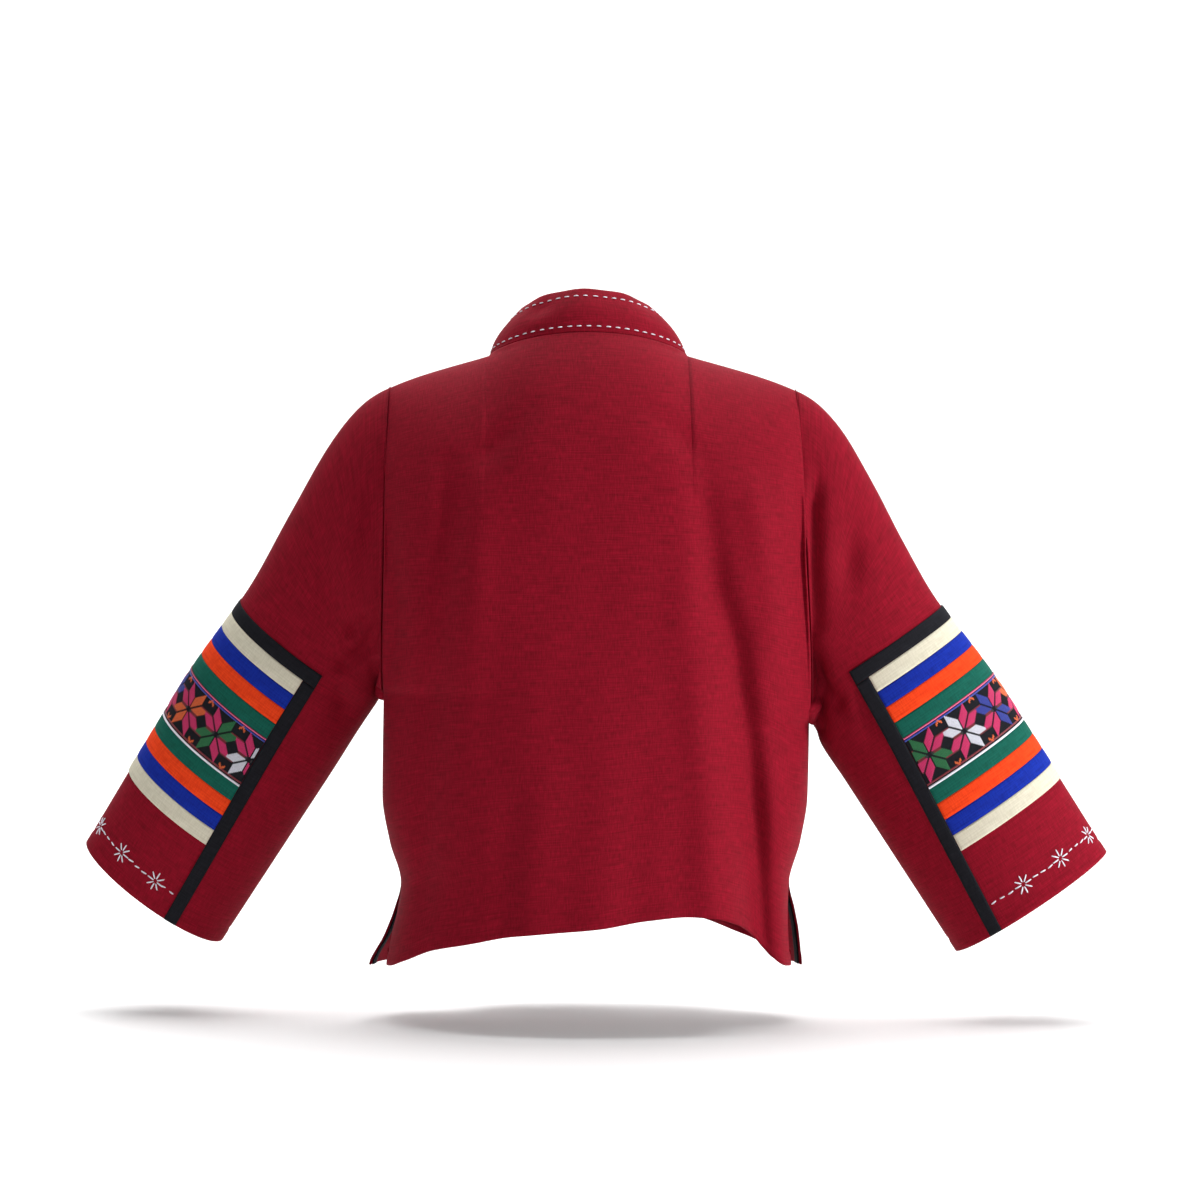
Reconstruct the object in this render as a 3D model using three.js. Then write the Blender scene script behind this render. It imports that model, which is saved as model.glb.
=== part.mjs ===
// Boxy linen jacket with pieced and embroidered sleeves, held out as it is worn, hollow, with no wearer.
// Millimetres, +Z up. The back faces +Y and the front -Y; "left" pieces are at +X, "right" pieces at -X.
// The origin is between the shoulders, level with the side of the neck, where the wearer holds it up.
//
// Every piece is a wall of cloth: a grid of points on its outer face, and the same grid moved in by the
// thickness. Neighbouring pieces use the same curves and stop a seam gap short of each other.

import * as THREE from "three";

// ---------------------------------------------------------------- driving dimensions

const SEAM_GAP = 0.3; // clear space between pieces that are sewn together
const ARMHOLE_GAP = 0.9; // wider, because the facets of the sleeve and the body differ there
const LINEN = 1.6; // wall of the body and the sleeves, with its turned edges
const COLLAR_WALL = 2.6; // two layers of linen
const TRIM_WALL = 1.0; // the strips sewn on the sleeves, and the slit facings
const TRIM_LIFT = 0.5; // clear space under a strip

const NECK = { x: 6.5, halfWidth: 95, back: 62, front: 58, side: -3, rise: 18, fall: 59 };
const COLLAR = { topX: 8, topHalfWidth: 69, topBack: 41, topShift: 19, topFront: 31, sideZ: 32, rise: 26, fall: 48, bulge: 4 };
const ARMHOLE_DEPTH = 57; // half of its front-to-back opening
const CHEST_Z = -195; // above this level the body rolls over to the shoulders
const SECTION_POWER = 2.3; // how square the body's level sections are
const SECTION_ROOT = 0.55;
const NECK_STEPS = 6; // columns across a quarter of the neck seam, which the collar shares
const SHOULDER_STEPS = 6;

// Level sections of the body: how far the edges of the back and front panels lie out at each side, and how
// deep the panels bulge at the middle. The last four rows are the side slits, where the panels part.
const BODY = [
  { z: -33, backLeft: 197, backRight: 193, frontLeft: 197, frontRight: 193, back: 122, front: 118 },
  { z: -195, backLeft: 199, backRight: 199, frontLeft: 199, frontRight: 199, back: 132, front: 126 },
  { z: -340, backLeft: 203, backRight: 205.5, frontLeft: 203, frontRight: 205.5, back: 138, front: 130 },
  { z: -424, backLeft: 204, backRight: 204, frontLeft: 204, frontRight: 204, back: 138, front: 130 },
  { z: -468, backLeft: 197, backRight: 197, frontLeft: 197, frontRight: 197, back: 138, front: 130 },
  { z: -508, backLeft: 186, backRight: 186, frontLeft: 186.5, frontRight: 186.5, back: 139, front: 131 },
  { z: -534, backLeft: 189.5, backRight: 185, frontLeft: 193, frontRight: 192, back: 140, front: 132 },
  { z: -557, backLeft: 195, backRight: 185.5, frontLeft: 202, frontRight: 196, back: 141, front: 133 },
  { z: -590, backLeft: 200, backRight: 188, frontLeft: 217, frontRight: 198.5, back: 142, front: 134 },
];

// The bottom edge of the back, from its right corner to its left one.
const BACK_HEM = [
  { x: -188, z: -586 },
  { x: -168, z: -575 },
  { x: -151, z: -553 },
  { x: -135, z: -539 },
  { x: -113, z: -531 },
  { x: -86, z: -529 },
  { x: -50, z: -532 },
  { x: -5, z: -539 },
  { x: 76, z: -547 },
  { x: 126, z: -557 },
  { x: 155, z: -564 },
  { x: 183, z: -578 },
  { x: 200, z: -586 },
];
const FRONT_HEM = { corner: -587, rise: 44, power: 2.6 };

// Large soft folds of the back and fronts: a line down the cloth, its half-width and its depth inwards at
// the top and at the bottom. A negative depth stands out as a ridge.
const BACK_FOLDS = [
  { x0: -101, z0: -140, x1: -128, z1: -280, wide: 17, top: 3, low: 8 },
  { x0: -128, z0: -280, x1: -150, z1: -590, wide: 19, top: 8, low: 17 },
  { x0: -84, z0: -200, x1: -112, z1: -590, wide: 24, top: -1, low: -7 },
  { x0: 137, z0: -130, x1: 157, z1: -450, wide: 20, top: 4, low: 6 },
];
const FRONT_FOLDS = [
  { x0: 118, z0: -170, x1: 146, z1: -590, wide: 20, top: 3, low: 13 },
  { x0: -116, z0: -150, x1: -140, z1: -590, wide: 20, top: 3, low: 11 },
  { x0: 62, z0: -260, x1: 70, z1: -590, wide: 26, top: -1, low: -5 },
];

// Each sleeve: its armhole, the two ends of its cuff as seen from behind, the direction of its outer and
// inner edges up from the cuff, how far it leans forward, and how many degrees the cloth is turned round the
// arm at the cuff and at the top of the panel.
const SLEEVES = {
  left: {
    sign: 1, top: -33.6, under: -324, cuffOuter: [499, -473], cuffInner: [367, -571],
    outerDir: [-0.5395, 0.842], innerDir: [-0.554, 0.8325], cuffY: -75, underarm: 300, twistCuff: 14, twistTop: 5,
  },
  right: {
    sign: -1, top: -36.5, under: -354, cuffOuter: [-491, -478], cuffInner: [-347, -574],
    outerDir: [0.545, 0.8385], innerDir: [0.546, 0.838], cuffY: -5, underarm: 262, twistCuff: 24, twistTop: 5,
  },
};
const SLEEVE_DEPTH = 56; // half of the sleeve's front-to-back size
const SLEEVE_LENGTH = 430; // along the sleeve, from the armhole's middle to the cuff
const SLEEVE_TUBE = 300; // the straight part, up from the cuff; the rest widens into the armhole
const UNDERARM_FROM = 110; // degrees from the top of the sleeve, where its rings begin to close up
const SWELL = [ // the panel is stiffer than the sleeve, so it stands out a little
  { up: 0, out: 0 },
  { up: 100, out: 1 },
  { up: 190, out: 1 },
  { up: 300, out: -5 },
];

// The pieced panel on each sleeve, in millimetres up from the cuff's edge.
const PANEL_TOP = 284;
const BINDING = 14;
const STRIPE = 16.6;
const BAND = 53;
const BINDING_ANGLE = { inner: 94.2, outer: 104 }; // degrees round from the top of the sleeve
const STRIPE_COLOURS = ["cream", "blue", "orange", "green"];
const FACING = { from: 0.18, to: 0.92 }; // across the first facet in from the slit's edge

// ---------------------------------------------------------------- materials

const COLOURS = {
  red_linen: 0x8f0420,
  black_cotton: 0x111116,
  cream_cotton: 0xc4bea7,
  blue_cotton: 0x0e2890,
  orange_cotton: 0xdc3e18,
  green_cotton: 0x0e5044,
  cross_stitch: 0x5a1230,
};

function material(name) {
  return new THREE.MeshStandardMaterial({ name, color: COLOURS[name], roughness: 0.88, metalness: 0 });
}

// ---------------------------------------------------------------- small helpers

const lerp = (a, b, t) => a + (b - a) * t;
const clamp = (v, lo, hi) => Math.min(hi, Math.max(lo, v));
const smooth = (t) => t * t * (3 - 2 * t);
const radians = (d) => (d * Math.PI) / 180;
const steps = (from, to, n) => Array.from({ length: n + 1 }, (_, i) => lerp(from, to, i / n));
const vec = (x, y, z) => new THREE.Vector3(x, y, z);

// Value of a column at `at`, by a smooth curve through a table whose `key` column rises or falls.
function read(table, key, column, at) {
  const rising = table[table.length - 1][key] > table[0][key];
  const rows = rising ? table : [...table].reverse();
  const x = clamp(at, rows[0][key], rows[rows.length - 1][key]);
  let i = 0;
  while (i < rows.length - 2 && x > rows[i + 1][key]) i += 1;
  const slope = (k) => {
    if (k <= 0 || k >= rows.length - 1) return 0;
    const a = (rows[k][column] - rows[k - 1][column]) / (rows[k][key] - rows[k - 1][key]);
    const b = (rows[k + 1][column] - rows[k][column]) / (rows[k + 1][key] - rows[k][key]);
    return a * b <= 0 ? 0 : (2 * a * b) / (a + b);
  };
  const span = rows[i + 1][key] - rows[i][key];
  const t = (x - rows[i][key]) / span;
  const p = rows[i][column];
  const q = rows[i + 1][column];
  const m = slope(i) * span;
  const n = slope(i + 1) * span;
  return p + (q - p) * t * t * (3 - 2 * t) + m * t * (1 - t) ** 2 - n * t * t * (1 - t);
}

function bezier(a, b, c, d, t) {
  const u = 1 - t;
  return a.clone().multiplyScalar(u * u * u)
    .addScaledVector(b, 3 * u * u * t)
    .addScaledVector(c, 3 * u * t * t)
    .addScaledVector(d, t * t * t);
}

// ---------------------------------------------------------------- cloth walls

// Unit normals of a grid of points, grid[row][column], by central differences.
function gridNormals(grid, round) {
  const rows = grid.length;
  const cols = grid[0].length;
  return grid.map((row, j) => row.map((_, i) => {
    const left = round ? (i + cols - 1) % cols : Math.max(i - 1, 0);
    const right = round ? (i + 1) % cols : Math.min(i + 1, cols - 1);
    const across = row[right].clone().sub(row[left]);
    const down = grid[Math.min(j + 1, rows - 1)][i].clone().sub(grid[Math.max(j - 1, 0)][i]);
    return down.cross(across).normalize();
  }));
}

// A closed wall between two grids of points. `round` joins the last column to the first.
function wall(outer, inner, round = false) {
  const rows = outer.length;
  const cols = outer[0].length;
  const points = [];
  for (const grid of [outer, inner]) {
    for (const row of grid) for (const p of row) points.push(p.x, p.y, p.z);
  }
  const faces = [];
  const quad = (a, b, c, d) => faces.push(a, b, c, a, c, d);
  const at = (side, j, i) => side * rows * cols + j * cols + (i % cols);
  const lastCol = round ? cols : cols - 1;
  for (let j = 0; j < rows - 1; j += 1) {
    for (let i = 0; i < lastCol; i += 1) {
      quad(at(0, j, i), at(0, j + 1, i), at(0, j + 1, i + 1), at(0, j, i + 1));
      quad(at(1, j, i), at(1, j, i + 1), at(1, j + 1, i + 1), at(1, j + 1, i));
    }
  }
  // the two long edges, then the two side edges, whose diagonals follow the faces' own
  for (let i = 0; i < lastCol; i += 1) {
    quad(at(0, 0, i), at(0, 0, i + 1), at(1, 0, i + 1), at(1, 0, i));
    quad(at(0, rows - 1, i), at(1, rows - 1, i), at(1, rows - 1, i + 1), at(0, rows - 1, i + 1));
  }
  for (let j = 0; !round && j < rows - 1; j += 1) {
    const e = cols - 1;
    quad(at(0, j, 0), at(1, j, 0), at(1, j + 1, 0), at(0, j + 1, 0));
    quad(at(0, j, e), at(0, j + 1, e), at(1, j + 1, e), at(1, j, e));
  }
  const geometry = new THREE.BufferGeometry();
  geometry.setAttribute("position", new THREE.Float32BufferAttribute(points, 3));
  geometry.setIndex(volume(points, faces) < 0 ? turned(faces) : faces);
  geometry.computeVertexNormals();
  return geometry;
}

function volume(points, faces) {
  const p = (k) => vec(points[3 * k], points[3 * k + 1], points[3 * k + 2]);
  let sum = 0;
  for (let f = 0; f < faces.length; f += 3) sum += p(faces[f]).dot(p(faces[f + 1]).cross(p(faces[f + 2])));
  return sum / 6;
}

function turned(faces) {
  const out = [];
  for (let f = 0; f < faces.length; f += 3) out.push(faces[f], faces[f + 2], faces[f + 1]);
  return out;
}

// Moves each point of a grid along its normal. `flat` may flatten the normal at an edge, so that the wall's
// end face there meets its neighbour's squarely.
function moved(grid, distance, { round = false, flat = () => null, away = 1 } = {}) {
  const normals = gridNormals(grid, round);
  return grid.map((row, j) => row.map((p, i) => {
    const n = normals[j][i].multiplyScalar(away);
    for (const axis of flat(j, i) ?? []) n[axis] = 0;
    return p.clone().addScaledVector(n.normalize(), distance);
  }));
}

// ---------------------------------------------------------------- body

const sideOf = (s) => (s >= 0 ? "Left" : "Right");
const sleeveAt = (s) => (s >= 0 ? SLEEVES.left : SLEEVES.right);

// Half of the armhole's opening, front to back, at a level.
function armholeDepth(s, z) {
  const sleeve = sleeveAt(s);
  const half = (sleeve.top - sleeve.under) / 2;
  const t = (z - (sleeve.top + sleeve.under) / 2) / half;
  return ARMHOLE_DEPTH * Math.sqrt(Math.max(0, 1 - t * t));
}

function edgeX(face, s, z) {
  return s * read(BODY, "z", face + sideOf(s), z);
}

// The neck seam, at an angle round it: 0 at the middle of the back, 90 at the side, 180 at the front.
function neckSeam(angle, sign = 1) {
  const a = radians(angle);
  const x = NECK.x + sign * NECK.halfWidth * Math.sin(a);
  if (angle <= 90) {
    const c = Math.max(0, Math.cos(a));
    return vec(x, NECK.back * c, NECK.side + NECK.rise * c ** 1.6);
  }
  const c = -Math.cos(a);
  return vec(x, -NECK.front * c, NECK.side - NECK.fall * c ** 1.3);
}

// The shoulder seam, from the neck (0) to the armhole (1).
function shoulderSeam(out, sign) {
  const sleeve = sleeveAt(sign);
  const from = NECK.x + sign * NECK.halfWidth;
  const to = edgeX("back", sign, sleeve.top);
  const drop = 0.86 * out + 0.14 * out ** 4;
  return vec(lerp(from, to, out), 0, lerp(NECK.side, sleeve.top, drop));
}

function foldDepth(folds, x, z) {
  let sum = 0;
  for (const f of folds) {
    const t = (z - f.z0) / (f.z1 - f.z0);
    const near = clamp(t, 0, 1);
    const past = Math.abs(z - lerp(f.z0, f.z1, near)) / 45;
    const off = (x - lerp(f.x0, f.x1, near)) / f.wide;
    sum += lerp(f.top, f.low, near) * Math.exp(-off * off - past * past);
  }
  return sum;
}

function hemZ(face, x) {
  if (face === "back") return read(BACK_HEM, "x", "z", x);
  return FRONT_HEM.corner + FRONT_HEM.rise * (1 - clamp(Math.abs(x) / 190, 0, 1) ** FRONT_HEM.power);
}

// A column of the body, from its top seam to the hem: `s` is its place from -1, the right edge, to 1, the
// left edge, `top` is where it starts, and `atNeck` is how far it is into the neck, 0 to 1.
function bodyColumn(face, s, top, atNeck, upperRows, lowerRows) {
  const way = face === "back" ? 1 : -1;
  const folds = face === "back" ? BACK_FOLDS : FRONT_FOLDS;
  const profile = (1 - Math.min(1, Math.abs(s) ** SECTION_POWER)) ** SECTION_ROOT;
  const level = (z) => {
    const x = edgeX(face, s, z);
    const edge = armholeDepth(s, z);
    const y = lerp(edge, read(BODY, "z", face, z), profile) - foldDepth(folds, x, z) * profile ** 0.5;
    return vec(x, way * Math.max(y, SEAM_GAP / 2), z);
  };
  const chest = level(CHEST_Z);
  const height = top.z - CHEST_Z;
  const shelf = (1 - Math.abs(s)) * 8 + 24 * atNeck;
  const bend = vec(top.x, lerp(top.y, chest.y, 0.52), top.z - shelf);
  const hang = vec(chest.x, chest.y, chest.z + 0.5 * height);
  const column = upperRows.map((t) => bezier(top, bend, hang, chest, t));
  if (Math.abs(s) > 0.999) {
    for (const p of column) p.set(edgeX(face, s, p.z), way * Math.max(armholeDepth(s, p.z), SEAM_GAP / 2), p.z);
  }
  const bottom = hemZ(face, edgeX(face, s, -580));
  for (const t of lowerRows) column.push(level(lerp(CHEST_Z, bottom, t)));
  return column;
}

// Places of the columns, from the middle to one side: across the neck, then along the shoulder.
function columnPlaces(face, sign) {
  const places = [];
  for (const a of steps(0, 90, NECK_STEPS)) {
    const top = neckSeam(face === "back" ? a : 180 - a, sign);
    places.push({ top, s: top.x / Math.abs(edgeX(face, top.x >= 0 ? 1 : -1, -33)), atNeck: Math.cos(radians(a)) });
  }
  const neckTurn = Math.asin(Math.abs(places[places.length - 1].s));
  for (const turn of steps(neckTurn, Math.PI / 2, SHOULDER_STEPS).slice(1)) {
    const s = Math.sin(turn);
    const out = (s - Math.sin(neckTurn)) / (1 - Math.sin(neckTurn));
    places.push({ top: shoulderSeam(out, sign), s: sign * s, atNeck: 0 });
  }
  return places;
}

const UPPER_ROWS = [0, 0.12, 0.3, 0.52, 0.76];
const LOWER_ROWS = [0, 0.13, 0.26, 0.4, 0.53, 0.66, 0.8, 0.87, 0.94, 1];
const BODY_ROWS = UPPER_ROWS.length + LOWER_ROWS.length;
const SLIT_ROW = BODY_ROWS - 4;

// Turns columns into grid[row][column] and pulls the seams in by half a gap.
function bodyGrid(face, places) {
  const way = face === "back" ? 1 : -1;
  const columns = places.map(({ s, top, atNeck }) => bodyColumn(face, s, top, atNeck, UPPER_ROWS, LOWER_ROWS));
  for (const [i, { s, atNeck }] of places.entries()) {
    const column = columns[i];
    if (atNeck < 0.01) column[0].y = (way * SEAM_GAP) / 2;
    for (const p of column) {
      if (Math.abs(s) > 0.999) p.x -= Math.sign(s) * (SEAM_GAP / 2);
    }
  }
  return Array.from({ length: BODY_ROWS }, (_, j) => columns.map((c) => c[j]));
}

function bodyInner(face, grid, places) {
  const flat = (j, i) => {
    const { s, atNeck } = places[i];
    const axes = [];
    if (j === 0 && atNeck < 0.01) axes.push("y");
    if (Math.abs(s) > 0.999) axes.push(grid[j][i].z > sleeveAt(s).under ? "x" : "y");
    return axes;
  };
  const away = face === "back" ? -1 : Math.sign(places[places.length - 1].s);
  return moved(grid, -LINEN, { flat, away });
}

function backPanel() {
  const left = columnPlaces("back", 1);
  const right = columnPlaces("back", -1).slice(1).reverse();
  const places = [...right, ...left];
  const grid = bodyGrid("back", places);
  return wall(grid, bodyInner("back", grid, places));
}

// A front panel, and the facing on the inside of its slit's edge.
function frontPanel(sign) {
  const places = columnPlaces("front", sign);
  const grid = bodyGrid("front", places);
  for (const row of grid) row[0].x = frontEdgeX(row[0].z) + (sign * SEAM_GAP) / 2;
  const inner = bodyInner("front", grid, places);
  return { panel: wall(grid, inner), facing: slitFacing(inner) };
}

// The fronts meet on a line from the middle of the neck down to the middle of the hem.
function frontEdgeX(z) {
  return lerp(NECK.x, 0, clamp((z - (NECK.side - NECK.fall)) / (CHEST_Z - NECK.side + NECK.fall), 0, 1));
}

function slitFacing(inner) {
  const face = [];
  for (let j = SLIT_ROW; j < BODY_ROWS; j += 1) {
    const row = inner[j];
    const edge = row[row.length - 1];
    const next = row[row.length - 2];
    const down = inner[j - 1][row.length - 1].clone().sub(edge);
    const away = next.clone().sub(edge).cross(down).normalize();
    if (away.x * edge.x > 0) away.negate();
    face.push([FACING.from, FACING.to].map((t) => edge.clone().lerp(next, t).addScaledVector(away, TRIM_LIFT)));
    face[face.length - 1].away = away;
  }
  const back = face.map((row) => row.map((p) => p.clone().addScaledVector(row.away, TRIM_WALL)));
  return wall(face, back);
}

// ---------------------------------------------------------------- sleeves

// A point of the sleeve's straight part: `up` from the cuff's edge, and `turn` degrees round from its top
// edge, towards the back where it is positive.
function tubePoint(sleeve, up, turn) {
  const a = radians(turn + twist(sleeve, up));
  const swell = read(SWELL, "up", "out", up);
  const outer = vec(
    sleeve.cuffOuter[0] + sleeve.outerDir[0] * up + sleeve.sign * swell * 0.84, 0,
    sleeve.cuffOuter[1] + sleeve.outerDir[1] * up + swell * 0.54,
  );
  const inner = vec(sleeve.cuffInner[0] + sleeve.innerDir[0] * up, 0, sleeve.cuffInner[1] + sleeve.innerDir[1] * up);
  const middle = outer.clone().add(inner).multiplyScalar(0.5);
  middle.y = sleeve.cuffY * (1 - up / SLEEVE_LENGTH);
  const across = outer.sub(inner).multiplyScalar(0.5);
  const along = sleeveAxis(sleeve);
  const through = vec(0, 1, 0).addScaledVector(along, -along.y).normalize();
  return middle.addScaledVector(across, Math.cos(a)).addScaledVector(through, SLEEVE_DEPTH * Math.sin(a));
}

function twist(sleeve, up) {
  return lerp(sleeve.twistCuff, sleeve.twistTop, up / PANEL_TOP);
}

// Unit vector down the sleeve.
function sleeveAxis(sleeve) {
  const lean = -sleeve.cuffY / SLEEVE_LENGTH;
  const flat = Math.sqrt(1 - lean * lean);
  return vec(-sleeve.outerDir[0] * flat, -lean, -sleeve.outerDir[1] * flat);
}

// Under the arm the rings of the sleeve close up, because the body is in the way.
function tubeUp(sleeve, up, turn) {
  const fromUnder = Math.abs(((turn + twist(sleeve, up) + 360) % 360) - 180);
  const under = smooth(clamp(1 - fromUnder / (180 - UNDERARM_FROM), 0, 1));
  const from = sleeve.underarm - 60;
  const closed = up < from ? up : from + (up - from) * ((sleeve.underarm - 8 - from) / (SLEEVE_TUBE - from));
  return lerp(up, Math.min(up, closed), under);
}

function armholePoint(sleeve, turn) {
  const a = radians(turn);
  const half = (sleeve.top - sleeve.under) / 2;
  const z = (sleeve.top + sleeve.under) / 2 + half * Math.cos(a);
  return vec(edgeX("back", sleeve.sign, z), ARMHOLE_DEPTH * Math.sin(a), z);
}

// The part between the armhole and the straight part: `t` is 0 at the armhole and 1 where it ends.
function capPoint(sleeve, t, turn) {
  const a = radians(turn);
  const from = armholePoint(sleeve, turn);
  const to = tubePoint(sleeve, tubeUp(sleeve, SLEEVE_TUBE, turn), turn);
  const reach = from.distanceTo(to);
  const over = (1 + Math.cos(a)) / 2;
  const out = vec(sleeve.sign * lerp(0.6, 0.955, over), 0.1 * Math.sin(a), -lerp(0.8, 0.3, over)).normalize();
  const leave = from.clone().addScaledVector(out, 0.23 * reach);
  const arrive = to.clone().addScaledVector(sleeveAxis(sleeve), -0.37 * reach);
  return bezier(from, leave, arrive, to, t);
}

// Places round the sleeve, with an edge at each side of the long bindings.
const TURNS = (() => {
  const { inner, outer } = BINDING_ANGLE;
  const half = [...steps(0, inner, 5), ...steps(outer, 180, 4)];
  return [...half.slice(1, -1).reverse().map((a) => -a), ...half];
})();

// Levels up the straight part, with a ring at each strip's edge, from the cuff to the top binding.
const STRIP_EDGES = (() => {
  const below = PANEL_TOP - BINDING - 2 * STRIPE_COLOURS.length * STRIPE - BAND;
  const edges = [below];
  for (let k = 0; k < STRIPE_COLOURS.length; k += 1) edges.push(edges[edges.length - 1] + STRIPE);
  edges.push(edges[edges.length - 1] + BAND);
  for (let k = 0; k < STRIPE_COLOURS.length; k += 1) edges.push(edges[edges.length - 1] + STRIPE);
  edges.push(PANEL_TOP);
  return edges;
})();
const BAND_ROW = STRIPE_COLOURS.length;
const LEVELS = [0, STRIP_EDGES[0] / 2, ...STRIP_EDGES];

function sleeveGrid(sleeve, turns) {
  const rows = [0, 0.16, 0.34, 0.54, 0.76, 1].map((t) => turns.map((a) => capPoint(sleeve, t, a)));
  for (const p of rows[0]) p.x += sleeve.sign * ARMHOLE_GAP;
  for (const up of [...LEVELS].reverse()) {
    rows.push(turns.map((a) => tubePoint(sleeve, tubeUp(sleeve, up, a), a)));
  }
  return rows;
}

function sleeveWall(sleeve) {
  const grid = sleeveGrid(sleeve, TURNS);
  const flat = (j) => (j === 0 ? ["x"] : null);
  return wall(grid, moved(grid, -LINEN, { round: true, flat, away: sleeve.sign }), true);
}

// A strip on the sleeve between two levels and two angles, laid on the sleeve's own facets.
function strip(sleeve, low, high, fromTurn, toTurn) {
  const turns = TURNS.filter((a) => a >= fromTurn - 0.01 && a <= toTurn + 0.01);
  const levels = LEVELS.filter((u) => u >= low - 0.01 && u <= high + 0.01);
  const inset = SEAM_GAP / 2;
  const grid = levels.map((up, j) => turns.map((turn, i) => {
    const u = up + (j === 0 ? inset : 0) - (j === levels.length - 1 ? inset : 0);
    const a = turn + (i === 0 ? 0.12 : 0) - (i === turns.length - 1 ? 0.12 : 0);
    return tubePoint(sleeve, tubeUp(sleeve, u, a), a);
  }));
  const away = -sleeve.sign;
  return wall(moved(grid, TRIM_LIFT + TRIM_WALL, { away }), moved(grid, TRIM_LIFT, { away }));
}

// ---------------------------------------------------------------- collar

// The collar's top edge stands over the same angle of the neck seam and leans in and forward.
function collarTop(angle, sign) {
  const a = radians(angle);
  const x = COLLAR.topX + sign * COLLAR.topHalfWidth * Math.sin(a);
  const c = Math.cos(a);
  const shift = COLLAR.topShift * Math.sin(a) ** 2;
  if (angle <= 90) return vec(x, COLLAR.topBack * c - shift, COLLAR.sideZ + COLLAR.rise * c);
  return vec(x, (COLLAR.topShift + COLLAR.topFront) * c - shift, COLLAR.sideZ + COLLAR.fall * c);
}

function collarPoint(angle, sign, t) {
  const low = neckSeam(angle, sign);
  const high = collarTop(angle, sign);
  const p = low.clone().lerp(high, t);
  const out = vec(low.x - NECK.x, low.y, 30).normalize();
  return p.addScaledVector(out, 4 * t * (1 - t) * COLLAR.bulge);
}

function collarWall() {
  const half = steps(0, 180, 2 * NECK_STEPS);
  const ring = [...half.slice(1).map((a) => [a, -1]).reverse(), ...half.map((a) => [a, 1])];
  const grid = [1, 0.72, 0.38, 0].map((t) => ring.map(([a, sign]) => collarPoint(a, sign, t)));
  for (const p of grid[grid.length - 1]) p.z += 0.8;
  for (const row of grid) {
    row[0].x -= SEAM_GAP / 2;
    row[row.length - 1].x += SEAM_GAP / 2;
  }
  const flat = (j, i) => [...(j === 3 ? ["z"] : []), ...(i === 0 || i === ring.length - 1 ? ["x"] : [])];
  return wall(grid, moved(grid, -COLLAR_WALL, { flat, away: -1 }));
}

// ---------------------------------------------------------------- the jacket

const jacket = new THREE.Group();
jacket.name = "jacket";

function add(parent, name, geometry, materialName) {
  const mesh = new THREE.Mesh(geometry, material(materialName));
  mesh.name = name;
  parent.add(mesh);
}

function addSleeve(side) {
  const sleeve = SLEEVES[side];
  const group = new THREE.Group();
  add(group, `sleeve_${side}`, sleeveWall(sleeve), "red_linen");
  const { inner, outer } = BINDING_ANGLE;
  const top = PANEL_TOP - BINDING;
  const stripe = (row, colour, set) => {
    const shape = strip(sleeve, STRIP_EDGES[row], STRIP_EDGES[row + 1], -inner, inner);
    add(group, `stripe_${colour}_${set}_${side}`, shape, `${colour}_cotton`);
  };
  for (const [k, colour] of STRIPE_COLOURS.entries()) {
    stripe(k, colour, "lower");
    stripe(2 * STRIPE_COLOURS.length - k, STRIPE_COLOURS[k], "upper");
  }
  const band = strip(sleeve, STRIP_EDGES[BAND_ROW], STRIP_EDGES[BAND_ROW + 1], -inner, inner);
  add(group, `embroidered_band_${side}`, band, "cross_stitch");
  add(group, `binding_top_${side}`, strip(sleeve, top, PANEL_TOP, -outer, outer), "black_cotton");
  add(group, `binding_back_${side}`, strip(sleeve, 0, top, inner, outer), "black_cotton");
  add(group, `binding_front_${side}`, strip(sleeve, 0, top, -outer, -inner), "black_cotton");
  jacket.add(group);
}

add(jacket, "back", backPanel(), "red_linen");
for (const [side, sign] of [["left", 1], ["right", -1]]) {
  const { panel, facing } = frontPanel(sign);
  add(jacket, `front_${side}`, panel, "red_linen");
  add(jacket, `slit_facing_${side}`, facing, "black_cotton");
}
add(jacket, "collar", collarWall(), "red_linen");
addSleeve("left");
addSleeve("right");

export default jacket;
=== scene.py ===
"""Looks for the embroidered linen jacket. Each cloth piece is a thin shell on its CAD piece's own form,
with finer folds, hems, stitches and procedural cloth materials.

Lengths are worked out in millimetres and turned into metres when a mesh is made. The back faces +Y,
"left" pieces are at +X and "right" pieces at -X. A grid is an array [row, column, xyz].
"""

import math

import bpy
import numpy as np
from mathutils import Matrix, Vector


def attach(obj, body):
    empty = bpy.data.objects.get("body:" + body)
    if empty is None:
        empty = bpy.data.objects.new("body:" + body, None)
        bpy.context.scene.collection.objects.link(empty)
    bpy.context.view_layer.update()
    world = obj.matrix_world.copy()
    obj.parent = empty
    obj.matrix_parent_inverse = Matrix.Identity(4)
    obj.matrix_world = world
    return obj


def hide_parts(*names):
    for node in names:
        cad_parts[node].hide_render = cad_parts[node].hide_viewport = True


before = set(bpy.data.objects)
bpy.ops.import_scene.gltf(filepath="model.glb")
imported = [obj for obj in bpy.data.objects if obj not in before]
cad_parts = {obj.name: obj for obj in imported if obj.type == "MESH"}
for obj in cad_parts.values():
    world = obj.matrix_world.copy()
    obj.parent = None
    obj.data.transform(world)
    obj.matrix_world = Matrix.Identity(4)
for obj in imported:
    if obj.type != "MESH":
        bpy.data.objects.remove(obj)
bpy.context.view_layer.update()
MM = 0.001
random = np.random.default_rng(7)

# ------------------------------------------------------------------ sizes, as in the CAD source

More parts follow.
